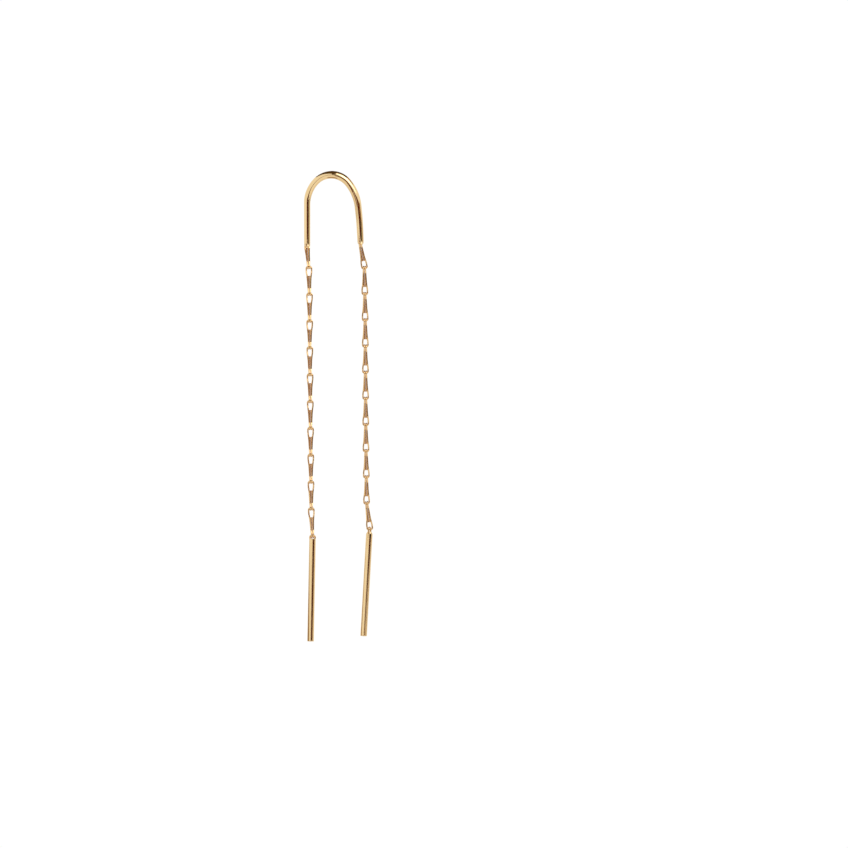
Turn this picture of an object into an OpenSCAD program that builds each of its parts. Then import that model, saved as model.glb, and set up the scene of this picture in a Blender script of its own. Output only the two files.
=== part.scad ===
// Chain threader earring. A U-shaped rod hangs in the ear lobe, and from each of its
// ends a chain of eleven hairpin links carries a slim round bar.
// Millimetres. +Z is up, the front faces -Y, and the origin is the inner top of the
// arch, where it rests in the lobe. Left and right are as seen from the front.

/* [Arch rod] */
// Diameter of the rod at its thickest, over the lobe
crown_d = 1.2; // [1.1:0.05:1.25]
// Diameter of the left leg
left_leg_d = 0.93; // [0.9:0.01:1]
// Diameter of the right leg's end
right_leg_d = 0.97; // [0.9:0.01:1]
// Centre-line radius of the crown
crown_r = 3.2; // [3.1:0.05:3.3]
// Centre-line radius of the left shoulder
left_shoulder_r = 4.8; // [4.7:0.05:5]
// Turn of the crown before the left shoulder starts, degrees
left_crown_turn = 46; // [44:1:48]
// Length of the straight left leg
left_leg_length = 6.4; // [6:0.1:6.8]
// Centre-line radius of the right shoulder
right_shoulder_r = 6.75; // [6.6:0.05:6.9]
// Turn of the crown before the right shoulder starts, degrees
right_crown_turn = 50; // [48:1:52]
// Turn of the right shoulder, degrees
right_shoulder_turn = 33; // [32:1:34]
// Centre-line radius of the slow bend of the right leg
right_leg_r = 47; // [45:1:50]
// Turn of that slow bend, degrees
right_leg_turn = 4.5; // [4:0.5:5]
// Length of the straight end of the right leg
right_leg_length = 1.95; // [1.8:0.05:2.1]
// Height of the solder cap on each end of the rod
cap_h = 0.22; // [0.16:0.02:0.3]
// Diameter of the solder cap where the link leaves it
cap_d = 0.62; // [0.5:0.02:0.7]

/* [Chain links] */
// Diameter of the link wire, which is drawn with six sides
wire_d = 0.24; // [0.22:0.01:0.24]
// Length of a left link, from the wire centre of its loop to that of its hook
left_link_length = 4.3; // [4.28:0.01:4.34]
// Length of a right link
right_link_length = 4.2; // [4.18:0.01:4.24]
// How much longer the last left link is, which was closed through the bar's eye
last_link_extra = 0.09; // [0:0.01:0.2]
// Half width of the wide loop, to the wire centre
loop_half = 0.395; // [0.395:0.005:0.41]
// Bend radius of the loop's two corners, to the wire centre
loop_corner_r = 0.27; // [0.26:0.005:0.28]
// Half distance between the two wires of the hook
hook_half = 0.13; // [0.128:0.001:0.132]
// Bend radius of the hook, to the wire centre
hook_r = 0.32; // [0.315:0.005:0.33]
// Distance from the loop of a left link to the blunt tips of its wire
left_tip_drop = 1.37; // [1.2:0.01:1.5]
// Distance from the loop of a right link to the blunt tips of its wire
right_tip_drop = 1.12; // [1.1:0.01:1.5]
// How deep a hook lies in the loop that it hangs in or carries
seat = 0.275; // [0.275:0.005:0.285]

/* [Bars] */
// Diameter of each bar
bar_d = 1.0; // [0.9:0.05:1.1]
// Length of each bar without its eye
bar_length = 15.45; // [14:0.05:17]
// Radius of the soft edges at the ends of a bar
bar_edge_r = 0.1; // [0.06:0.02:0.14]
// Rise of the left eye's wire centre over the bar
left_eye_rise = 0.46; // [0.45:0.01:0.5]
// Rise of the right eye's wire centre over the bar
right_eye_rise = 0.88; // [0.86:0.01:0.94]
// How deep the right eye lies in the last loop
right_eye_seat = 0.34; // [0.32:0.01:0.36]
// Turn of the right eye about the bar, away from edge-on, degrees
right_eye_turn = 24; // [24:1:32]
// Lean of the left bar, degrees, positive towards the right going down
left_bar_lean = -1.1; // [-1.5:0.1:0]
// Lean of the right bar, degrees
right_bar_lean = -3.2; // [-3.5:0.1:-2]

/* [Hidden] */
// Lean of each link from the arch down, degrees, positive towards the right
left_lean = [5, 1.2, 0.4, 0.3, 0.6, 0.4, 0.6, 0.5, 0.4, 0.6, 2.8];
right_lean = [10.4, 1, 0.7, 0.4, 0.3, 0.3, 0.3, 0.5, 0.8, 0.5, 7];

// Spread of the two front wires of a link: distance from the loop, half distance apart
stem_spread = [
    [0.27, loop_half],
    [0.8, loop_half - 0.01],
    [1.3, 0.31],
    [1.9, 0.245],
    [2.6, 0.205],
    [3.3, 0.165],
    [3.85, hook_half]
];

// Depth of the front and back wires along the pinched stem
front_y = -0.13;
back_y = 0.14;
// Where the pinched stem starts and ends, from the loop
pinch_start = 1.5;
pinch_end = 3.2;

// Diameter of the rod by the direction that it runs in: -90 up, 0 level, 90 down
rod_size = [
    [-90, left_leg_d + 0.03],
    [-80, left_leg_d + 0.08],
    [-60, left_leg_d + 0.1],
    [-25, crown_d - 0.12],
    [0, crown_d - 0.03],
    [25, crown_d],
    [50, crown_d - 0.04],
    [70, crown_d - 0.05],
    [83, right_leg_d + 0.07],
    [90, right_leg_d]
];
// Turn of the rod between two of its sections, degrees, at most
rod_step = 6;

// From the left end of the rod to where a loop of the first link would lie, and from the
// right end to where the hook of the first link lies
left_root = [-0.116, 0.926];
right_root = [-0.146, 0.36];
// Where the wires of the first left link start, inside the rod's end: half the distance
// between the front two, and how far below that loop
root_half = 0.29;
root_drop = 0.8;

rod_sides = 16;
wire_sides = 6;
loop_flat = loop_half - loop_corner_r;
bar_r = bar_d / 2;
gold = [0.86, 0.68, 0.38];

$fn = 48;

// Vectors in the plane of the earring, as [x, z]
function down(lean) = [sin(lean), -cos(lean)];
function unit(v) = v / norm(v);
// A slow start and a slow end, for t from 0 to 1
function ease(t) = t * t * (3 - 2 * t);

// Centres of the rod's bends, each on the line from the last one through their joint
function at_angle(centre, r, a) = centre + r * [sin(a), cos(a)];
crown_centre = [0, lookup(0, rod_size) / 2 - crown_r];
left_shoulder_centre = at_angle(crown_centre, crown_r - left_shoulder_r, -left_crown_turn);
right_turned = right_crown_turn + right_shoulder_turn;
right_shoulder_centre = at_angle(crown_centre, crown_r - right_shoulder_r, right_crown_turn);
right_leg_centre = at_angle(right_shoulder_centre, right_shoulder_r - right_leg_r, right_turned);
right_end_turn = right_turned + right_leg_turn;

// Where the straight ends start, and where the first links hang on them
left_leg_top = at_angle(left_shoulder_centre, left_shoulder_r, -90);
right_leg_top = at_angle(right_leg_centre, right_leg_r, right_end_turn);
right_leg_lean = 90 - right_end_turn;
left_start = left_leg_top + left_leg_length * down(0) + left_root;
right_start = right_leg_top + right_leg_length * down(right_leg_lean) + right_root;

// The length of link i of the left chain
function left_length(i) = i == left_last ? left_link_length + last_link_extra : left_link_length;

// A hook that is turned in its loop lies deeper in it
function sunk(turn) = seat + hook_half * abs(sin(turn));

// Where link i of the left chain has its loop
function left_loop(i) = i == 0
    ? left_start
    : left_hook(i - 1) - sunk(left_lean[i] - left_lean[i - 1]) * down(left_lean[i]);
function left_hook(i) = left_loop(i) + left_length(i) * down(left_lean[i]);

// Where link i of the right chain has its hook, and where its loop
function right_hook(i) = i == 0
    ? right_start
    : right_loop(i - 1) - sunk(right_lean[i] - right_lean[i - 1]) * down(right_lean[i - 1]);
function right_loop(i) = right_hook(i) + right_link_length * down(right_lean[i]);

// The wire centre of each bar's eye
left_last = len(left_lean) - 1;
right_last = len(right_lean) - 1;
left_eye = left_hook(left_last)
    - sunk(left_bar_lean - left_lean[left_last]) * down(left_bar_lean);
right_eye = right_loop(right_last) - right_eye_seat * down(right_lean[right_last]);

// The front wire of a link at distance d from its loop, on side s. The hook's bend has
// its centre at distance h.
function bow(d, h) = ease((d - pinch_end) / (h - pinch_end));
function front_point(d, s, h) = [
    s * lookup(d, stem_spread),
    d > pinch_end
        ? front_y + (-hook_r - front_y) * bow(d, h)
        : front_y * ease(min(1, (d - loop_corner_r) / (pinch_start - loop_corner_r))),
    -d
];

// The back wire, from its blunt tip to the hook
function back_point(d, s, h) = [
    s * hook_half,
    d > pinch_end ? back_y + (hook_r - back_y) * bow(d, h) : back_y,
    -d
];

// One side of the wire, from its tip round the hook and up to where the loop starts
function hook_side(s, h, tip) = concat(
    [for (d = [tip, 2.3, pinch_end, (pinch_end + h) / 2]) back_point(d, s, h)],
    [for (a = [0:30:180]) [s * hook_half, hook_r * cos(a), -h - hook_r * sin(a)]],
    [for (d = [(pinch_end + h) / 2, pinch_end, 2.6, 1.9, 1.3]) front_point(d, s, h)]
);
// From there round the loop's corner
function loop_side(s) = concat(
    [front_point(0.8, s, pinch_end)],
    [for (a = [0:30:90]) [
        s * (loop_flat + loop_corner_r * cos(a)), 0, loop_corner_r * (sin(a) - 1)
    ]]
);
function reversed(list) = [for (i = [len(list) - 1:-1:0]) list[i]];
function whole_wire(h, tip) = concat(
    hook_side(1, h, tip), loop_side(1),
    reversed(loop_side(-1)), reversed(hook_side(-1, h, tip))
);

// Tangents along a path, and normals that turn no more than the path does
function tangents(p) = [for (i = [0:len(p) - 1])
    unit(p[min(i + 1, len(p) - 1)] - p[max(i - 1, 0)])
];
function normals(t) = [
    for (i = 0, n = [1, 0, 0]; i < len(t);
        i = i + 1, n = i < len(t) ? unit(n - (n * t[i]) * t[i]) : n) n
];

// A bent wire with flat sides: path holds its centre points and size its diameters. The
// corners stand as far out of the round wire as the flats cut into it.
module bent_wire(path, size, sides) {
    t = tangents(path);
    n = normals(t);
    count = len(path);
    corners = [for (i = [0:count - 1], k = [0:sides - 1])
        let (
            a = (k + 0.5) * 360 / sides,
            r = size[i] / (1 + cos(180 / sides))
        )
        path[i] + r * (cos(a) * n[i] + sin(a) * cross(t[i], n[i]))
    ];
    walls = [for (i = [0:count - 2], k = [0:sides - 1])
        let (j = (k + 1) % sides)
        [i * sides + k, (i + 1) * sides + k, (i + 1) * sides + j, i * sides + j]
    ];
    caps = [
        [for (k = [0:sides - 1]) k],
        [for (k = [sides - 1:-1:0]) (count - 1) * sides + k]
    ];
    polyhedron(corners, concat(walls, caps));
}

module link_wire(path) {
    bent_wire(path, [for (p = path) wire_d], wire_sides);
}

// Places a child that hangs from its own origin at a point of the earring's plane
module hung(at, lean) {
    translate([at[0], 0, at[1]])
        rotate([0, -lean, 0])
            children();
}

module left_link(i) {
    hung(left_loop(i), left_lean[i])
        link_wire(whole_wire(left_length(i) - hook_r, left_tip_drop));
}

// The first left link has no loop: its wires, front and back, are soldered into the rod
module left_link_01() {
    hung(left_start, left_lean[0])
        for (s = [-1, 1])
            link_wire(concat(
                hook_side(s, left_link_length - hook_r, root_drop),
                [[s * root_half, 0, -root_drop]]
            ));
}

// The right chain runs the other way up, so its links hang by their hooks
module right_link(i) {
    hung(right_hook(i), right_lean[i])
        translate([0, 0, -right_link_length])
            rotate([0, 180, 0])
                link_wire(whole_wire(right_link_length - hook_r, right_tip_drop));
}

// Points of one bend as [x, z, diameter], from angle a0 up to but without a1
function bend(centre, r, a0, a1) =
    let (steps = ceil((a1 - a0) / rod_step))
    [for (i = [0:steps - 1])
        let (a = a0 + (a1 - a0) * i / steps, p = at_angle(centre, r, a))
        [p[0], p[1], lookup(a, rod_size)]
    ];
// A point of a straight end, at a distance from where it starts
function end_point(top, lean, distance, d) =
    let (p = top + distance * down(lean))
    [p[0], p[1], d];

module bent_rod() {
    points = concat(
        [end_point(left_leg_top, 0, left_leg_length + cap_h, cap_d)],
        [end_point(left_leg_top, 0, left_leg_length, left_leg_d)],
        bend(left_shoulder_centre, left_shoulder_r, -90, -left_crown_turn),
        bend(crown_centre, crown_r, -left_crown_turn, right_crown_turn),
        bend(right_shoulder_centre, right_shoulder_r, right_crown_turn, right_turned),
        bend(right_leg_centre, right_leg_r, right_turned, right_end_turn),
        [end_point(right_leg_top, right_leg_lean, 0, lookup(right_end_turn, rod_size))],
        [end_point(right_leg_top, right_leg_lean, right_leg_length, right_leg_d)],
        [end_point(right_leg_top, right_leg_lean, right_leg_length + cap_h, cap_d)]
    );
    bent_wire([for (p = points) [p[0], 0, p[1]]], [for (p = points) p[2]], rod_sides);
}

module ear_arch() {
    color(gold) {
        bent_rod();
        left_link_01();
        right_link(0);
    }
}

// Half of an eye: the flat top, one corner and one leg down to the bar
module eye_half(rise) {
    rotate([0, 90, 0])
        cylinder(h = loop_flat, r = wire_d / 2);
    translate([loop_flat, 0, -loop_corner_r])
        rotate([90, 0, 0])
            rotate_extrude(angle = 90)
                translate([loop_corner_r, 0])
                    circle(d = wire_d);
    translate([loop_half, 0, -rise - bar_edge_r])
        cylinder(h = rise + bar_edge_r - loop_corner_r, r = wire_d / 2);
}

module eye(rise) {
    eye_half(rise);
    mirror([1, 0, 0])
        eye_half(rise);
}

// A bar that hangs down from z = 0, with soft edges at both ends
module round_bar() {
    rotate_extrude() {
        translate([0, -bar_length])
            square([bar_r - bar_edge_r, bar_length]);
        translate([0, bar_edge_r - bar_length])
            square([bar_r, bar_length - 2 * bar_edge_r]);
        for (z = [-bar_edge_r, bar_edge_r - bar_length])
            translate([bar_r - bar_edge_r, z])
                circle(r = bar_edge_r);
    }
}

module bar_with_eye(rise, turn) {
    rotate([0, 0, turn])
        eye(rise);
    translate([0, 0, -rise])
        round_bar();
}

module left_bar() {
    color(gold)
        hung(left_eye, left_bar_lean)
            bar_with_eye(left_eye_rise, 0);
}

module right_bar() {
    color(gold)
        hung(right_eye, right_bar_lean)
            bar_with_eye(right_eye_rise, 90 - right_eye_turn);
}

module left_link_02() color(gold) left_link(1);
module left_link_03() color(gold) left_link(2);
module left_link_04() color(gold) left_link(3);
module left_link_05() color(gold) left_link(4);
module left_link_06() color(gold) left_link(5);
module left_link_07() color(gold) left_link(6);
module left_link_08() color(gold) left_link(7);
module left_link_09() color(gold) left_link(8);
module left_link_10() color(gold) left_link(9);
module left_link_11() color(gold) left_link(10);

module right_link_02() color(gold) right_link(1);
module right_link_03() color(gold) right_link(2);
module right_link_04() color(gold) right_link(3);
module right_link_05() color(gold) right_link(4);
module right_link_06() color(gold) right_link(5);
module right_link_07() color(gold) right_link(6);
module right_link_08() color(gold) right_link(7);
module right_link_09() color(gold) right_link(8);
module right_link_10() color(gold) right_link(9);
module right_link_11() color(gold) right_link(10);

ear_arch();
left_link_02();
left_link_03();
left_link_04();
left_link_05();
left_link_06();
left_link_07();
left_link_08();
left_link_09();
left_link_10();
left_link_11();
left_bar();
right_link_02();
right_link_03();
right_link_04();
right_link_05();
right_link_06();
right_link_07();
right_link_08();
right_link_09();
right_link_10();
right_link_11();
right_bar();
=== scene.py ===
"""One chain threader earring in polished 14 carat gold, over a plain pale floor.

The earring's lengths are millimetres, and the studio's are metres unless a line says
otherwise. A lean is in degrees, positive towards the right going down. The front faces -Y.
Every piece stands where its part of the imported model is.
"""

import math

import bpy
import numpy as np
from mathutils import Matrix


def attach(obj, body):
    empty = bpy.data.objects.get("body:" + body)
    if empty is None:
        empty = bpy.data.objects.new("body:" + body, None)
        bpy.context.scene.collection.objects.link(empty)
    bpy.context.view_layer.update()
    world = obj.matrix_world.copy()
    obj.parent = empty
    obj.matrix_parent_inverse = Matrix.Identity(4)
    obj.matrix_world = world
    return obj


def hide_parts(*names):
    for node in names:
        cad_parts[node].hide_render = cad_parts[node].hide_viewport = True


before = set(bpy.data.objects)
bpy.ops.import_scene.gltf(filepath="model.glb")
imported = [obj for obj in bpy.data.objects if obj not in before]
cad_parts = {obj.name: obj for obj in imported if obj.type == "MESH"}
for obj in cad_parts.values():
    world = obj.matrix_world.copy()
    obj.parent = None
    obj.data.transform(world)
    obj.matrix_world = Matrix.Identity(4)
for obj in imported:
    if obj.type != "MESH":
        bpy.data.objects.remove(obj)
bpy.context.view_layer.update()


# THE ARCH
# One gold rod, drawn thicker in the middle, bent over a round mandrel into the U that goes
# through the ear lobe, and polished on a wheel. Its legs are thinner than its crown.

MM = 0.001  # metres
# Thickness of the rod: at its thickest, at the top of the crown, and near its ends
CROWN_D = 1.2
CROWN_TOP_D = CROWN_D - 0.03
LEFT_LEG_D = 0.93
RIGHT_LEG_D = 0.97
# Its centre line is one bend after another: their radii, and the degrees that each turns
CROWN_R = 3.2
LEFT_CROWN_TURN = 46
RIGHT_CROWN_TURN = 50
LEFT_SHOULDER_R = 4.8
RIGHT_SHOULDER_R = 6.75
RIGHT_SHOULDER_TURN = 33
RIGHT_LEG_R = 47
RIGHT_LEG_TURN = 4.5
# The straight ends below the bends
LEFT_LEG_LENGTH = 6.4
RIGHT_LEG_LENGTH = 1.95
# Thickness of the rod by the direction that it runs in: -90 up, 0 level, 90 down
ROD_SIZE = [
    (-90, LEFT_LEG_D + 0.03),
    (-80, LEFT_LEG_D + 0.08),
    (-60, LEFT_LEG_D + 0.1),
    (-25, CROWN_D - 0.12),
    (0, CROWN_TOP_D),
    (25, CROWN_D),
    (50, CROWN_D - 0.04),
    (70, CROWN_D - 0.07),
    (83, RIGHT_LEG_D + 0.09),
    (90, RIGHT_LEG_D),
]
# The ends are eased off by hand: how far from the end, how much thinner the rod is at it,
# how fast that fades, and the radius of its edge
ROD_EASE = [0, 0.1, 0.2, 0.3, 0.4]
ROD_EASED = 0.09
ROD_EASE_POWER = 1.6
ROD_EDGE_R = 0.05
# The rod's mesh: degrees of bend between two rings, how far below the left bend the first
# ring of the straight leg lies, and how many sides a ring has
ROD_STEP = 1.5
ROD_FIRST_RING = 0.1
ROD_SIDES = 48


def linear(colour):
    """An sRGB hex colour as linear red, green, blue and alpha."""
    parts = [int(colour[i:i + 2], 16) / 255 for i in (1, 3, 5)]
    return [c / 12.92 if c <= 0.04045 else ((c + 0.055) / 1.055) ** 2.4 for c in parts] + [1.0]


def add_node(material, kind, sockets, **settings):
    """Adds a node, and gives each of its inputs a value or another node's output."""
    tree = material.node_tree
    made = tree.nodes.new(kind)
    for name, value in settings.items():
        setattr(made, name, value)
    for name, value in sockets.items():
        if isinstance(value, bpy.types.NodeSocket):
            tree.links.new(value, made.inputs[name])
        else:
            made.inputs[name].default_value = value
    return made


# Sockets of a Mix node that mixes colours
MIX_FACTOR, MIX_FROM, MIX_TO, MIX_RESULT = 0, 6, 7, 2


def yellow_gold(name, pale, deep, smoothest, dullest):
    """14 carat yellow gold. Its copper and silver show as soft clouds of two tones, and the
    drawing plate leaves fine lines along the metal that the polish doesn't quite remove. The
    lines are 0.05 mm apart, which is coarser than real ones, since those would not show."""
    cloud_size, haze_size = 1.6, 0.35
    haze_low, haze_high = 0.3, 0.7  # a noise texture seldom leaves this range
    line_width, line_length, line_depth = 0.05, 3.0, 0.0002
    material = bpy.data.materials.new(name)
    material.use_nodes = True
    material.node_tree.nodes.clear()
    place = add_node(material, "ShaderNodeTexCoord", {})
    cloud = add_node(material, "ShaderNodeTexNoise", {
        "Vector": place.outputs["Object"], "Scale": 1 / (cloud_size * MM), "Detail": 2.0})
    tone = add_node(material, "ShaderNodeMix", {
        MIX_FACTOR: cloud.outputs[0], MIX_FROM: linear(pale), MIX_TO: linear(deep),
    }, data_type="RGBA")
    haze = add_node(material, "ShaderNodeTexNoise", {
        "Vector": place.outputs["Object"], "Scale": 1 / (haze_size * MM), "Detail": 3.0})
    polish = add_node(material, "ShaderNodeMapRange", {
        "Value": haze.outputs[0], "From Min": haze_low, "From Max": haze_high,
        "To Min": smoothest, "To Max": dullest})
    stretch = add_node(material, "ShaderNodeMapping", {
        "Vector": place.outputs["UV"], "Scale": (1 / line_width, 1 / line_length, 1.0)})
    lines = add_node(material, "ShaderNodeTexNoise", {
        "Vector": stretch.outputs[0], "Scale": 1.0, "Detail": 2.0})
    bump = add_node(material, "ShaderNodeBump", {
        "Height": lines.outputs[0], "Distance": line_depth * MM, "Strength": 1.0})
    metal = add_node(material, "ShaderNodeBsdfPrincipled", {
        "Base Color": tone.outputs[MIX_RESULT], "Metallic": 1.0,
        "Roughness": polish.outputs[0], "Normal": bump.outputs[0]})
    add_node(material, "ShaderNodeOutputMaterial", {"Surface": metal.outputs[0]})
    return material


# Wheel-polished gold mirrors the studio with crisp edges, and its highlights are cream
polished_gold = yellow_gold("gold_14k_wheel_polished", "#EED3A2", "#E9C891",
                            smoothest=0.05, dullest=0.09)


SHARP_ANGLE = 50  # the degrees between two faces from which their edge is sharp


def skin(name, rings, along):
    """A closed mesh over rings of points, in millimetres. Its UV holds millimetres too: round
    the piece and along it."""
    rings = np.array(rings)
    count, sides = rings.shape[:2]
    faces = []
    for i in range(count - 1):
        here, there = i * sides, (i + 1) * sides
        for k in range(sides):
            after = (k + 1) % sides
            faces.append((here + k, there + k, there + after, here + after))
    faces.append(tuple(range(sides)))
    faces.append(tuple(range(count * sides - 1, (count - 1) * sides - 1, -1)))
    mesh = bpy.data.meshes.new(name)
    mesh.from_pydata((rings.reshape(-1, 3) * MM).tolist(), [], faces)
    middle = rings[count // 2]
    girth = np.linalg.norm(middle - np.roll(middle, 1, axis=0), axis=1).sum()
    layer = mesh.uv_layers.new(name="round_and_along")
    for face in mesh.polygons:
        corners = [(v // sides, v % sides) for v in face.vertices]
        wraps = len(corners) == 4 and {k for _, k in corners} == {0, sides - 1}
        for loop, (i, k) in zip(face.loop_indices, corners):
            turn = sides if wraps and k == 0 else k
            layer.data[loop].uv = (turn / sides * girth, along[i])
    mesh.polygons.foreach_set("use_smooth", [True] * len(mesh.polygons))
    mesh.set_sharp_from_angle(angle=math.radians(SHARP_ANGLE))
    mesh.validate()
    piece = bpy.data.objects.new(name, mesh)
    bpy.context.collection.objects.link(piece)
    return piece


# Rings that round off a cut end, in degrees: 90 at its end face, 0 at the long side
EDGE_TURNS = np.radians([90, 60, 30, 0])
# Where the next rings lie, in edge radii from the cut: one close by, which keeps the long
# side straight up to the rounding, and the first of the line's own
EDGE_RING = 1.3
LINE_RINGS = 1.6
LEAST_FLAT = 1e-6


def drawn(name, line, width, sides, edge, flats=None):
    """A round wire or rod along a line of centre points, its cut ends rounded off by edge.
    flats gives each centre point a flat pressed into the metal: it faces the way that its
    vector points, and is as deep as that is long."""
    line = np.array(line, float)
    gone = np.concatenate([[0], np.cumsum(np.linalg.norm(np.diff(line, axis=0), axis=1))])
    inset = np.append(edge * (1 - np.sin(EDGE_TURNS)), EDGE_RING * edge)
    inner = gone[(gone > LINE_RINGS * edge) & (gone < gone[-1] - LINE_RINGS * edge)]
    along = np.concatenate([inset, inner, gone[-1] - inset[::-1]])

    def at_rings(rows):
        """A row for each ring, from the rows of the centre points."""
        return np.stack([np.interp(along, gone, column) for column in np.array(rows).T], axis=1)

    drop = np.zeros(len(along))
    rounding = edge * (1 - np.cos(EDGE_TURNS))
    drop[:len(rounding)] = rounding
    drop[-len(rounding):] = rounding[::-1]
    centres = at_rings(line)
    radii = np.interp(along, gone, np.broadcast_to(np.array(width, float), len(line))) / 2 - drop
    ahead = at_rings(np.gradient(line, gone, axis=0))
    ahead /= np.linalg.norm(ahead, axis=1)[:, None]
    # No wire here sets off towards the front or back, so its rings can start from there
    across = np.array([0.0, 1.0, 0.0])
    round_it = np.arange(sides) * 2 * math.pi / sides
    rings = []
    for centre, t, r in zip(centres, ahead, radii):
        across = across - (across @ t) * t
        across /= np.linalg.norm(across)
        side = np.cross(t, across)
        ring = r * (np.outer(np.cos(round_it), across) + np.outer(np.sin(round_it), side))
        rings.append(centre + ring)
    if flats is not None:
        for k, (centre, t, r, flat) in enumerate(zip(centres, ahead, radii, at_rings(flats))):
            depth = np.linalg.norm(flat)
            if depth < LEAST_FLAT:
                continue
            n = flat / depth - (flat / depth @ t) * t
            n /= np.linalg.norm(n)
            out = (rings[k] - centre) @ n
            rings[k] = rings[k] - np.outer(np.maximum(out - (r - depth), 0), n)
    return skin(name, rings, along)


def fit(piece, material, body, node):
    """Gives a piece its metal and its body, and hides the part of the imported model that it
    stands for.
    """
    piece.data.materials.append(material)
    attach(piece, body)
    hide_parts(node)


def down(lean):
    """The direction of a lean in the plane of the earring, as x and z."""
    return np.array([math.sin(math.radians(lean)), -math.cos(math.radians(lean))])


def at_angle(centre, r, a):
    """The point of a bend at angle a from its top."""
    return centre + r * np.array([math.sin(math.radians(a)), math.cos(math.radians(a))])


def bend(centre, r, start, end):
    """Points of one bend, each with the direction of the rod there."""
    return [(at_angle(centre, r, a), a) for a in np.arange(start, end, ROD_STEP)]


crown_centre = np.array([0, CROWN_TOP_D / 2 - CROWN_R])
left_shoulder = at_angle(crown_centre, CROWN_R - LEFT_SHOULDER_R, -LEFT_CROWN_TURN)
right_turned = RIGHT_CROWN_TURN + RIGHT_SHOULDER_TURN
right_shoulder = at_angle(crown_centre, CROWN_R - RIGHT_SHOULDER_R, RIGHT_CROWN_TURN)
right_bow = at_angle(right_shoulder, RIGHT_SHOULDER_R - RIGHT_LEG_R, right_turned)
right_end_turn = right_turned + RIGHT_LEG_TURN
right_leg_lean = 90 - right_end_turn
left_leg_top = at_angle(left_shoulder, LEFT_SHOULDER_R, -90)
right_leg_top = at_angle(right_bow, RIGHT_LEG_R, right_end_turn)
left_rod_end = left_leg_top + LEFT_LEG_LENGTH * down(0)
right_rod_end = right_leg_top + RIGHT_LEG_LENGTH * down(right_leg_lean)

rod_line = [(left_rod_end - d * down(0), -90) for d in ROD_EASE]
rod_line.append((left_leg_top + ROD_FIRST_RING * down(0), -90))
rod_line += bend(left_shoulder, LEFT_SHOULDER_R, -90, -LEFT_CROWN_TURN)
rod_line += bend(crown_centre, CROWN_R, -LEFT_CROWN_TURN, RIGHT_CROWN_TURN)
rod_line += bend(right_shoulder, RIGHT_SHOULDER_R, RIGHT_CROWN_TURN, right_turned)
rod_line += bend(right_bow, RIGHT_LEG_R, right_turned, right_end_turn)
rod_line.append((right_leg_top, right_end_turn))
rod_line += [(right_rod_end - d * down(right_leg_lean), 90) for d in ROD_EASE[::-1]]
rod_widths = np.interp([a for _, a in rod_line], *zip(*ROD_SIZE))
worn = ROD_EASED * (1 - np.array(ROD_EASE) / ROD_EASE[-1]) ** ROD_EASE_POWER
rod_widths[:len(worn)] = LEFT_LEG_D - worn
rod_widths[-len(worn):] = RIGHT_LEG_D - worn[::-1]
rod_centres = [(x, 0, z) for (x, z), _ in rod_line]
arch_rod = drawn("arch_rod", rod_centres, rod_widths, ROD_SIDES, ROD_EDGE_R)
fit(arch_rod, polished_gold, "arch_and_chains", "ear_arch")


# THE CHAIN LINKS
# Each link is one piece of fine round wire, bent into a hairpin and folded over: the wide
# loop at one end, two wires pinched into a stem, and a hook whose cut tips end behind the
# stem. It hooks into the loop of the next one. Drawn wire, tumbled bright.

WIRE_D = 0.24
LEFT_LINK = 4.3
RIGHT_LINK = 4.2
LAST_LINK_EXTRA = 0.09
# Half the width of the loop and of the hook, to the middle of the wire, and their bends
LOOP_HALF = 0.395
LOOP_CORNER_R = 0.27
HOOK_HALF = 0.13
HOOK_R = 0.32
# How far the cut tips lie from the loop, and how deep a hook lies in the loop that holds it
LEFT_TIP_DROP = 1.37
RIGHT_TIP_DROP = 1.12
SEAT = 0.275
# Depth of the front and back wires, and the stretch, from the loop down, where they keep it
FRONT_Y = -0.13
BACK_Y = 0.14
PINCH_START = 1.5
PINCH_END = 3.2
# Half distance between the two front wires, by the distance from the loop
SPREAD = [
    (0.27, LOOP_HALF), (0.8, LOOP_HALF - 0.01), (1.3, 0.31), (1.9, 0.245),
    (2.6, 0.205), (3.3, 0.165), (3.85, HOOK_HALF),
]
# The flats that the pliers press into the front wires: their depth, the degrees that the
# left and the right wire's flat turns outwards, and how far either side of the middle of
# the loop that changes over
FLAT_DEPTH = 0.022
LEFT_FLAT_TURN = (-14, 17)
RIGHT_FLAT_TURN = (-10, 8)
FLAT_MIDDLE = 0.05
# The depths at which they end, towards the back wires and where the hook bows forward, and
# over how much depth they fade there
FLAT_BACK_Y = 0.02
FLAT_BACK_FADE = 0.06
FLAT_HOOK_Y = -0.19
FLAT_HOOK_FADE = 0.05
# Lean of each link, from the arch down
LEFT_LEAN = [5, 1.2, 0.4, 0.3, 0.6, 0.4, 0.6, 0.5, 0.4, 0.6, 2.8]
RIGHT_LEAN = [10.4, 1, 0.7, 0.4, 0.3, 0.3, 0.3, 0.5, 0.8, 0.5, 7]
# Where a first link's loop or hook would lie, from its end of the rod
LEFT_ROOT = np.array([-0.116, 0.926])
RIGHT_ROOT = np.array([-0.146, 0.36])
# Where the two wires of the first left link start, inside the solder, and how far they run
# straight from there
ROOT_HALF = 0.29
ROOT_DROP = 0.8
ROOT_STRAIGHT = 0.3
# The wire's mesh: sides of a ring, the length and the degrees of bend between two rings,
# and the radius of its cut edges
WIRE_SIDES = 28
WIRE_STEP = 0.09
HOOK_STEP = 12
CORNER_STEP = 10
TIP_EDGE = 0.03

# Tumbled wire keeps a little of its drawn skin, so it mirrors more softly than the rod and
# is a little deeper in tone
tumbled_wire = yellow_gold("gold_14k_wire_tumbled", "#EBCB98", "#E2B87E",
                           smoothest=0.07, dullest=0.13)


def ease(t):
    """A slow start and a slow end, for t from 0 to 1."""
    return t * t * (3 - 2 * t)


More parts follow.
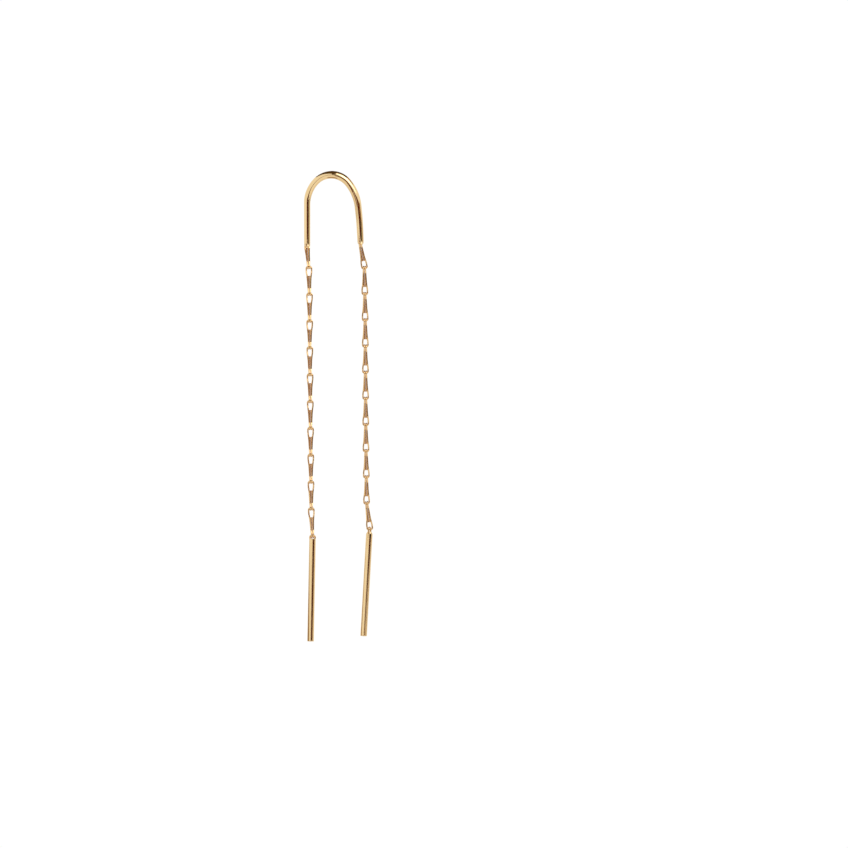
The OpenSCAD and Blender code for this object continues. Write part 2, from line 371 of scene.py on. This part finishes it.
def smooth_between(table, x):
    """A value on the smooth curve through a table of x and value."""
    xs, ys = (np.array(v, float) for v in zip(*table))
    slopes = np.gradient(ys, xs)
    slopes[0] = slopes[-1] = 0
    x = min(max(x, xs[0]), xs[-1])
    i = min(int(np.searchsorted(xs, x, side="right")) - 1, len(xs) - 2)
    h = xs[i + 1] - xs[i]
    t = (x - xs[i]) / h
    return (
        (1 + 2 * t) * (1 - t) ** 2 * ys[i] + t * (1 - t) ** 2 * h * slopes[i]
        + t * t * (3 - 2 * t) * ys[i + 1] + t * t * (t - 1) * h * slopes[i + 1]
    )


def front_point(d, side, bend_at):
    """The front wire of a link at distance d from its loop."""
    if d > PINCH_END:
        y = FRONT_Y + (-HOOK_R - FRONT_Y) * ease((d - PINCH_END) / (bend_at - PINCH_END))
    else:
        y = FRONT_Y * ease(min(1, (d - LOOP_CORNER_R) / (PINCH_START - LOOP_CORNER_R)))
    return (side * smooth_between(SPREAD, d), y, -d)


def back_point(d, side, bend_at):
    """The back wire, between its cut tip and the hook."""
    y = BACK_Y
    if d > PINCH_END:
        y += (HOOK_R - BACK_Y) * ease((d - PINCH_END) / (bend_at - PINCH_END))
    return (side * HOOK_HALF, y, -d)


def hook_side(side, bend_at, tip, top):
    """One side of the wire: from its cut tip round the hook and up the front to top."""
    points = [back_point(d, side, bend_at) for d in np.arange(tip, bend_at, WIRE_STEP)]
    for a in np.radians(np.arange(0, 180 + HOOK_STEP, HOOK_STEP)):
        points.append((side * HOOK_HALF, HOOK_R * math.cos(a), -bend_at - HOOK_R * math.sin(a)))
    rise = np.arange(bend_at - WIRE_STEP, top, -WIRE_STEP)
    return points + [front_point(d, side, bend_at) for d in rise]


def loop_corner(side):
    """One corner of the wide loop, from its side to its top."""
    return [
        (side * (LOOP_HALF - LOOP_CORNER_R + LOOP_CORNER_R * math.cos(a)), 0,
         LOOP_CORNER_R * (math.sin(a) - 1))
        for a in np.radians(np.arange(0, 90 + CORNER_STEP, CORNER_STEP))
    ]


def link_line(length, tip):
    """The whole wire of a link, hanging from the middle of its loop."""
    top = LOOP_CORNER_R + WIRE_STEP / 2
    half = [hook_side(side, length - HOOK_R, tip, top) + loop_corner(side) for side in (1, -1)]
    return half[0] + half[1][::-1]


def pressed(line, flat_turn):
    """The flats along a link's wire."""
    flats = []
    for x, y, _ in line:
        turn = math.radians(np.interp(x, (-FLAT_MIDDLE, FLAT_MIDDLE), flat_turn))
        off_back = min(max((FLAT_BACK_Y - y) / FLAT_BACK_FADE, 0), 1)
        off_hook = min(max((y - FLAT_HOOK_Y) / FLAT_HOOK_FADE, 0), 1)
        depth = FLAT_DEPTH * (off_back * off_hook)
        flats.append((depth * math.sin(turn), -depth * math.cos(turn), 0))
    return flats


def hung(points, at, lean):
    """Points that hang from their own origin, at a place of the earring's plane."""
    c, s = math.cos(math.radians(lean)), math.sin(math.radians(lean))
    return [(at[0] + x * c - z * s, y, at[1] + x * s + z * c) for x, y, z in points]


def upturned(points, length):
    """The same points with the loop at the bottom, hanging by the hook."""
    return [(-x, y, -z - length) for x, y, z in points]


def sunk(turn):
    """A hook that is turned in its loop lies deeper in it."""
    return SEAT + HOOK_HALF * abs(math.sin(math.radians(turn)))


def link(name, line, at, lean, flat_turn, node):
    """Bends a link's wire, hangs it up and gives it its metal."""
    wire = drawn(name, hung(line, at, lean), WIRE_D, WIRE_SIDES, TIP_EDGE,
                 pressed(line, flat_turn))
    fit(wire, tumbled_wire, "arch_and_chains", node)


left_loops, left_hooks, left_lengths = [], [], []
for i, lean in enumerate(LEFT_LEAN):
    left_lengths.append(LEFT_LINK + (LAST_LINK_EXTRA if i == len(LEFT_LEAN) - 1 else 0))
    if i:
        left_loops.append(left_hooks[-1] - sunk(lean - LEFT_LEAN[i - 1]) * down(lean))
    else:
        left_loops.append(left_rod_end + LEFT_ROOT)
    left_hooks.append(left_loops[-1] + left_lengths[-1] * down(lean))
right_hooks, right_loops = [], []
for i, lean in enumerate(RIGHT_LEAN):
    if i:
        above = RIGHT_LEAN[i - 1]
        right_hooks.append(right_loops[-1] - sunk(lean - above) * down(above))
    else:
        right_hooks.append(right_rod_end + RIGHT_ROOT)
    right_loops.append(right_hooks[-1] + RIGHT_LINK * down(lean))

# The first left link has no loop: its wires, front and back, run into the rod's end
for side, word in ((-1, "outer"), (1, "inner")):
    line = hook_side(side, LEFT_LINK - HOOK_R, ROOT_DROP, ROOT_DROP + ROOT_STRAIGHT)
    line.append((side * ROOT_HALF, 0, -ROOT_DROP))
    link("left_link_01_" + word, line, left_loops[0], LEFT_LEAN[0], LEFT_FLAT_TURN, "ear_arch")
for i, lean in enumerate(LEFT_LEAN[1:], 1):
    line = link_line(left_lengths[i], LEFT_TIP_DROP)
    link(f"left_chain_{i + 1:02d}", line, left_loops[i], lean, LEFT_FLAT_TURN,
         f"left_link_{i + 1:02d}")
# The right chain hangs the other way up, and its first hook is soldered into the rod's end
for i, lean in enumerate(RIGHT_LEAN):
    line = upturned(link_line(RIGHT_LINK, RIGHT_TIP_DROP), RIGHT_LINK)
    link(f"right_chain_{i + 1:02d}", line, right_hooks[i], lean, RIGHT_FLAT_TURN,
         f"right_link_{i + 1:02d}" if i else "ear_arch")


# THE SOLDER AT THE ARCH
# Each chain is soldered into the rod's end: the solder wets the cut face up to its edge and
# draws down the wires in a hollow cone. Solder is a paler gold alloy, buffed by hand.

CONE_H = 0.24
# Its rim lies CONE_RIM within the rod's side, and its foot's radius is CONE_WAIST less that.
# CONE_HOLLOW says how hollow it is in between: 1 would be straight
CONE_RIM = 0.02
CONE_WAIST = 0.29
CONE_HOLLOW = 1.7
CONE_ROWS = 14
CONE_SIDES = 32
# It starts CONE_SUNK inside the rod, with two rings so far from the rod's side. Two more
# close its underside, by their radius and their depth below the foot
CONE_SUNK = 0.06
CONE_INSIDE = [0.1, 0.03]
CONE_UNDERSIDE = [(0.2, 0.03), (0.1, 0.04)]

# Buffed by hand, solder keeps a soft haze, so its glints are wider and paler than the gold's
flowed_solder = yellow_gold("gold_solder_buffed", "#F0D8AC", "#E6C48C",
                            smoothest=0.1, dullest=0.22)


def turned(name, profile, sides, at, lean):
    """A round piece: profile holds radii and heights about its own upright axis."""
    turns = np.arange(sides) * 2 * math.pi / sides
    rings = [
        hung([(r * math.cos(t), r * math.sin(t), z) for t in turns], at, lean) for r, z in profile
    ]
    along = np.cumsum([0] + [math.dist(p, q) for p, q in zip(profile, profile[1:])])
    return skin(name, rings, along)


for word, at, lean, d in (
    ("left", left_rod_end, 0, LEFT_LEG_D), ("right", right_rod_end, right_leg_lean, RIGHT_LEG_D),
):
    profile = [(d / 2 - inset, CONE_SUNK) for inset in CONE_INSIDE]
    for t in np.linspace(0, 1, CONE_ROWS):
        hollow = 1 - (1 - t) ** CONE_HOLLOW
        profile.append((d / 2 - CONE_RIM - (d / 2 - CONE_WAIST) * hollow, -CONE_H * t))
    profile += [(r, -CONE_H - depth) for r, depth in CONE_UNDERSIDE]
    cone = turned(word + "_arch_solder", profile[::-1], CONE_SIDES, at, lean)
    fit(cone, flowed_solder, "arch_and_chains", "ear_arch")


# THE BARS
# Two lengths of round gold rod, sawn square, their edges broken and polished bright. Each
# has a small wire eye soldered on its top, which the last link hooks through.

BAR_D = 1.0
BAR_LENGTH = 15.45
LEFT_BAR_LEAN = -1.1
RIGHT_BAR_LEAN = -3.2
# The radius of a bar's broken edges, and the degrees between two rings there. More rings,
# BAR_RING edge radii from the corner, keep the faces flat and the side straight up to them
BAR_EDGE_R = 0.1
BAR_EDGE_STEP = 15
BAR_RING = 1.2
BAR_CAP_R = 0.2
BAR_SIDES = 64
# How far an eye stands up from its bar, to the middle of its wire, and the rings of a foot
LEFT_EYE_RISE = 0.46
RIGHT_EYE_RISE = 0.88
EYE_ROWS = 8
# How deep the right eye and the last loop lie in each other, and its turn from edge-on
RIGHT_EYE_SEAT = 0.34
RIGHT_EYE_TURN = 24
# Solder has run up the eyes' feet: how high, and by how much it thickens them
FILLET_RISE = 0.14
FILLET_SWELL = 0.06
left_eye = left_hooks[-1] - sunk(LEFT_BAR_LEAN - LEFT_LEAN[-1]) * down(LEFT_BAR_LEAN)
right_eye = right_loops[-1] - RIGHT_EYE_SEAT * down(RIGHT_LEAN[-1])


def bar_profile(rise):
    """Radii and heights of a bar from its top down, with its broken edges."""
    r, e, top = BAR_D / 2, BAR_EDGE_R, -rise
    turns = np.radians(np.arange(0, 90 + BAR_EDGE_STEP, BAR_EDGE_STEP))
    arc = [(e * math.sin(a), e * (1 - math.cos(a))) for a in turns]
    upper = [(BAR_CAP_R, top), (r - BAR_RING * e, top)] + [(r - e + x, top - z) for x, z in arc]
    upper.append((r, top - BAR_RING * e))
    lower = [(x, 2 * top - BAR_LENGTH - z) for x, z in reversed(upper)]
    return upper + lower


def eye_line(rise, turn):
    """The wire of an eye, from inside the bar over the top and down again."""
    foot, shoulder = -rise - BAR_EDGE_R, -LOOP_CORNER_R
    half = [(LOOP_HALF, 0, z) for z in np.linspace(foot, shoulder, EYE_ROWS)[:-1]]
    half += loop_corner(1)
    line = half + [(-x, y, z) for x, y, z in reversed(half)]
    c, s = math.cos(math.radians(turn)), math.sin(math.radians(turn))
    return [(x * c - y * s, x * s + y * c, z) for x, y, z in line]


for word, eye, lean, rise, turn in (
    ("left", left_eye, LEFT_BAR_LEAN, LEFT_EYE_RISE, 0),
    ("right", right_eye, RIGHT_BAR_LEAN, RIGHT_EYE_RISE, 90 - RIGHT_EYE_TURN),
):
    bar = turned(word + "_bar_rod", bar_profile(rise), BAR_SIDES, eye, lean)
    line = np.array(eye_line(rise, turn))
    swell = FILLET_SWELL * np.clip(1 - (line[:, 2] + rise) / FILLET_RISE, 0, 1) ** 2
    # The thicker feet move inwards, so that they don't stand out beyond the eye
    out = np.maximum(np.hypot(line[:, 0], line[:, 1]), WIRE_D)
    line[:, :2] *= (1 - swell / 2 / out)[:, None]
    wire = drawn(word + "_bar_eye", hung(line, eye, lean), WIRE_D + swell, WIRE_SIDES, TIP_EDGE)
    fit(bar, polished_gold, word + "_bar", word + "_bar")
    fit(wire, tumbled_wire, word + "_bar", word + "_bar")

# The taller right eye stands in a mound of solder: its height above the bar, the radii of
# its top and foot, and how far its top edge is broken inwards and down
MOUND_H = 0.29
MOUND_TOP_R = 0.3
MOUND_FOOT_R = 0.44
MOUND_EDGE = 0.04
MOUND_SHOULDER = 0.95
MOUND_ROWS = 12
# The rings that close it: the radius of both, and the depth of the lower one in the bar
MOUND_CAP_R = 0.1
MOUND_SUNK = 0.07

mound_profile = [(MOUND_CAP_R, MOUND_H), (MOUND_TOP_R - MOUND_EDGE, MOUND_H)]
for t in np.linspace(0, 1, MOUND_ROWS):
    r = MOUND_FOOT_R - (MOUND_FOOT_R - MOUND_TOP_R) * (1 - t)
    mound_profile.append((r, MOUND_H * (MOUND_SHOULDER - t)))
mound_profile.append((MOUND_CAP_R, -MOUND_SUNK))
mound_profile = [(r, z - RIGHT_EYE_RISE) for r, z in mound_profile]
mound = turned("right_bar_solder", mound_profile, CONE_SIDES, right_eye, RIGHT_BAR_LEAN)
fit(mound, flowed_solder, "right_bar", "right_bar")


# THE STUDIO
# A white room and a pale floor well below the earring, with a camera straight in front of
# it behind a long lens. The cards stand where the metal mirrors them and give it its brown
# stripes; only the metal shows them. A soft box brightens the right shoulder.

CAMERA_DISTANCE = 5.0
# In millimetres: the sensor's width, and the width and the centre of what the photo takes in
SENSOR = 36
PHOTO_WIDTH = 127.2
PHOTO_CENTRE = (13.875, -36.8)
ROOM_LIGHT = 1.02

camera = bpy.data.objects.new("camera", bpy.data.cameras.new("camera"))
camera.data.sensor_width = SENSOR
camera.data.lens = SENSOR * CAMERA_DISTANCE / (PHOTO_WIDTH * MM)
camera.location = (PHOTO_CENTRE[0] * MM, -CAMERA_DISTANCE, PHOTO_CENTRE[1] * MM)
camera.rotation_euler = (math.radians(90), 0, 0)
bpy.context.collection.objects.link(camera)
bpy.context.scene.camera = camera
bpy.context.scene.view_settings.view_transform = "Standard"

world = bpy.data.worlds.new("white_room")
world.use_nodes = True
world.node_tree.nodes["Background"].inputs["Color"].default_value = linear("#FFFFFF")
world.node_tree.nodes["Background"].inputs["Strength"].default_value = ROOM_LIGHT
bpy.context.scene.world = world


def matt(name, colour, fleck, fleck_size=2):
    """Matt card or paper. Its pressed fibres scatter the light, so it has hardly any gloss,
    and shows one even colour with a faint fleck. The fleck's size is in millimetres, coarser
    than real fibres, which would not show."""
    material = bpy.data.materials.new(name)
    material.use_nodes = True
    material.node_tree.nodes.clear()
    place = add_node(material, "ShaderNodeTexCoord", {})
    noise = add_node(material, "ShaderNodeTexNoise", {
        "Vector": place.outputs["Object"], "Scale": 1 / (fleck_size * MM)})
    tone = add_node(material, "ShaderNodeMix", {
        MIX_FACTOR: noise.outputs[0], MIX_FROM: linear(colour), MIX_TO: linear(fleck),
    }, data_type="RGBA")
    card = add_node(material, "ShaderNodeBsdfPrincipled", {
        "Base Color": tone.outputs[MIX_RESULT], "Roughness": 0.9, "Specular IOR Level": 0.1})
    add_node(material, "ShaderNodeOutputMaterial", {"Surface": card.outputs[0]})
    return material


def stage_sheet(name, corners, material, panels=None, seen=False):
    """A sheet of the studio, in metres: one flat panel, unless it is given its panels. A
    sheet that isn't seen shows only in the metal."""
    mesh = bpy.data.meshes.new(name)
    mesh.from_pydata(corners, [], panels or [tuple(range(len(corners)))])
    sheet = bpy.data.objects.new(name, mesh)
    sheet.data.materials.append(material)
    bpy.context.collection.objects.link(sheet)
    sheet.visible_camera = sheet.visible_diffuse = seen


FLOOR_Z = -0.61
FLOOR_HALF = 8
# White paper lit from all sides, so the floor has no edge or pattern to it
floor_paper = matt("white_paper_matt", "#ECEBE9", "#E9E8E6", fleck_size=0.5)
stage_sheet("floor", [
    (x * FLOOR_HALF, y * FLOOR_HALF, FLOOR_Z) for x, y in ((-1, -1), (1, -1), (1, 1), (-1, 1))
], floor_paper, seen=True)


# How far the near and the far cards stand from the earring
NEAR = 0.12
FAR = 3.0


def strip(name, lower, upper, material):
    """A sheet of flat panels between two edges of as many points."""
    count = len(lower)
    panels = [(i, i + 1, count + i + 1, count + i) for i in range(count - 1)]
    stage_sheet(name, lower + upper, material, panels)


def card(name, reach, lower, upper, material):
    """A card at a distance. Each point of its edges is a direction from the arch: degrees to
    the right of the camera, and degrees up."""
    edges = []
    for edge in (lower, upper):
        turns = [(math.radians(right), math.radians(up)) for right, up in edge]
        edges.append([
            (reach * math.cos(up) * math.sin(right), -reach * math.cos(up) * math.cos(right),
             reach * math.sin(up)) for right, up in turns
        ])
    strip(name, *edges, material)


def curtain(name, posts, material):
    """An upright card near the earring. Each of its posts is degrees to the right of the
    camera, and its lowest and highest millimetre."""
    turns = [(math.radians(right), low * MM, high * MM) for right, low, high in posts]
    lower = [(NEAR * math.sin(right), -NEAR * math.cos(right), low) for right, low, _ in turns]
    upper = [(NEAR * math.sin(right), -NEAR * math.cos(right), high) for right, _, high in turns]
    strip(name, lower, upper, material)


# The cards are deeper or greyer than the stripes that they make, since gold adds its yellow
red_card = matt("red_brown_card", "#5A160C", "#55140B")
grey_card = matt("olive_grey_card", "#687260", "#636D5B")
dun_card = matt("dun_card", "#B8A08A", "#B29B86")
umber_card = matt("umber_card", "#553020", "#502D1E")
sienna_card = matt("sienna_card", "#8C4826", "#864423")
rust_card = matt("rust_card", "#5E300A", "#582C09")
tan_card = matt("tan_card", "#C9B7A8", "#C4B2A4")
copper_card = matt("copper_brown_card", "#9A7450", "#94704C")
olive_card = matt("olive_brown_card", "#5A4526", "#554123")
cream_card = matt("cream_card", "#F2E8DC", "#EEE4D8")
sand_card = matt("sand_card", "#A8937F", "#A38E7A")
black_card = matt("black_card", "#0A0808", "#0C0A0A")

# The arch's legs: a red stripe, a grey one and a pale one, and a copper wedge on the outside
# of the right shoulder. The red card also draws the thin line round the crown
curtain("leg_red_card", [(-19, -14, -0.5), (10, -14.5, -0.5), (29, -17, -1)], red_card)
curtain("leg_grey_card", [(29, -17, -1), (47, -23, -1), (54, -24, -1)], grey_card)
curtain("leg_dun_card", [(54, -24, -1), (76, -26, -1)], dun_card)
curtain("leg_copper_card", [(4, -0.5, 3), (28, -1, 9), (72, -1, 11)], copper_card)

# The bars: the left and right part of the dark stripe, and the shade along the right edge.
# They reach up so that the chains' flats mirror them too
card("bar_red_card", FAR, [(7, -3.5), (12, -4.2), (20, -5)], [(7, 0.2), (12, 0.8), (20, 6)],
     red_card)
card("bar_umber_card", FAR, [(20, -5), (43, -6.5), (68, -7)], [(20, 6), (43, 6.5), (68, 6)],
     umber_card)
card("tan_card", FAR, [(76, -6), (100, -6)], [(76, 4), (100, 4)], tan_card)
# A cream screen beside the right bar narrows its stripe towards the lower end
stage_sheet("screen", [
    (0.0086, -0.0065, -0.068), (0.0115, -0.0046, -0.056),
    (0.0115, -0.0046, -0.078), (0.0086, -0.0065, -0.078),
], cream_card)

# The left chain's left wires, and the thin line inside the right shoulder
curtain("chain_card", [(-46, -50, -16), (-25, -50, -16)], sienna_card)


def rolled(off, roll):
    """The direction at an angle off the camera, rolled from straight down to the left."""
    off, roll = math.radians(off), math.radians(roll)
    x, y, z = -math.sin(off) * math.sin(roll), -math.cos(off), -math.sin(off) * math.cos(roll)
    return math.degrees(math.atan2(x, -y)), math.degrees(math.atan2(z, math.hypot(x, y)))


# A wedge of shade low on the left of the camera draws the thin line along the right shoulder
WEDGE_REACH = 1.2
WEDGE_LOWEST, WEDGE_HIGHEST = 30, -1
WEDGE_ROLLS = range(14, 65, 6)
card("wedge_card", WEDGE_REACH, [rolled(WEDGE_LOWEST, roll) for roll in WEDGE_ROLLS],
     [rolled(WEDGE_HIGHEST, roll) for roll in WEDGE_ROLLS], rust_card)
# A card that lies below the earring draws the short line under the crown
LOW_Z = -0.29
stage_sheet("low_card", [
    (x, y, LOW_Z) for x, y in ((-0.1, -0.09), (0.05, -0.09), (0.05, 0.09), (-0.1, 0.09))
], copper_card)
# A pointed card left of the bars shades their left edges, more so towards the lower end
stage_sheet("side_card", [
    (-0.015, 0.006, -0.052), (-0.015, -0.014, -0.076), (-0.015, 0.012, -0.076),
], sand_card)
# A scrap of black card gives the dark spot at the top of the right bar's stripe
SCRAP_HIGH, SCRAP_LOW = -0.0532, -0.0541
stage_sheet("black_scrap", [
    (0.0075, -0.0047, SCRAP_HIGH), (0.0101, -0.0024, SCRAP_HIGH),
    (0.0101, -0.0024, SCRAP_LOW), (0.0075, -0.0047, SCRAP_LOW),
], black_card)

# The dark spot in the middle of the crown, and the shade along its upper edge, which turns
# to copper on the right. On the ceiling, x and y are in heights of the ceiling
CEILING = 2.0
card("camera_column", FAR, [(-1.5, 6.5), (3, 6.5)], [(-1.5, 25), (3, 25)], olive_card)
stage_sheet("ceiling_card", [
    (x * CEILING, y * CEILING, CEILING) for x, y in (
        (-0.03, -2.35), (0.06, -2.35), (0.15, -1.46), (0.2, -0.29), (0.48, -0.33),
        (0.85, -0.37), (0.84, 2.2), (-0.84, 2.2), (-0.84, 0.36), (-0.51, -0.34),
        (-0.17, -1.43))
], olive_card)
stage_sheet("ceiling_edge", [
    (x * CEILING, y * CEILING, CEILING)
    for x, y in ((0.85, -0.2), (1.5, 0.1), (1.5, 0.7), (0.85, 1.5))
], copper_card)

# The soft box stands high on the right of the camera
SOFT_BOX_SIZE = (1.9, 1.6)
SOFT_BOX_WATTS = 24
SOFT_BOX_REACH = 3.0
SOFT_BOX_RIGHT = math.radians(30)
SOFT_BOX_UP = math.radians(32)
soft_box = bpy.data.objects.new("soft_box", bpy.data.lights.new("soft_box", "AREA"))
soft_box.data.shape = "RECTANGLE"
soft_box.data.size, soft_box.data.size_y = SOFT_BOX_SIZE
soft_box.data.energy = SOFT_BOX_WATTS
soft_box.location = (
    SOFT_BOX_REACH * math.sin(SOFT_BOX_RIGHT) * math.cos(SOFT_BOX_UP),
    -SOFT_BOX_REACH * math.cos(SOFT_BOX_RIGHT) * math.cos(SOFT_BOX_UP),
    SOFT_BOX_REACH * math.sin(SOFT_BOX_UP),
)
soft_box.rotation_mode = "QUATERNION"
soft_box.rotation_quaternion = soft_box.location.to_track_quat("Z", "Y")
soft_box.visible_camera = False
bpy.context.collection.objects.link(soft_box)
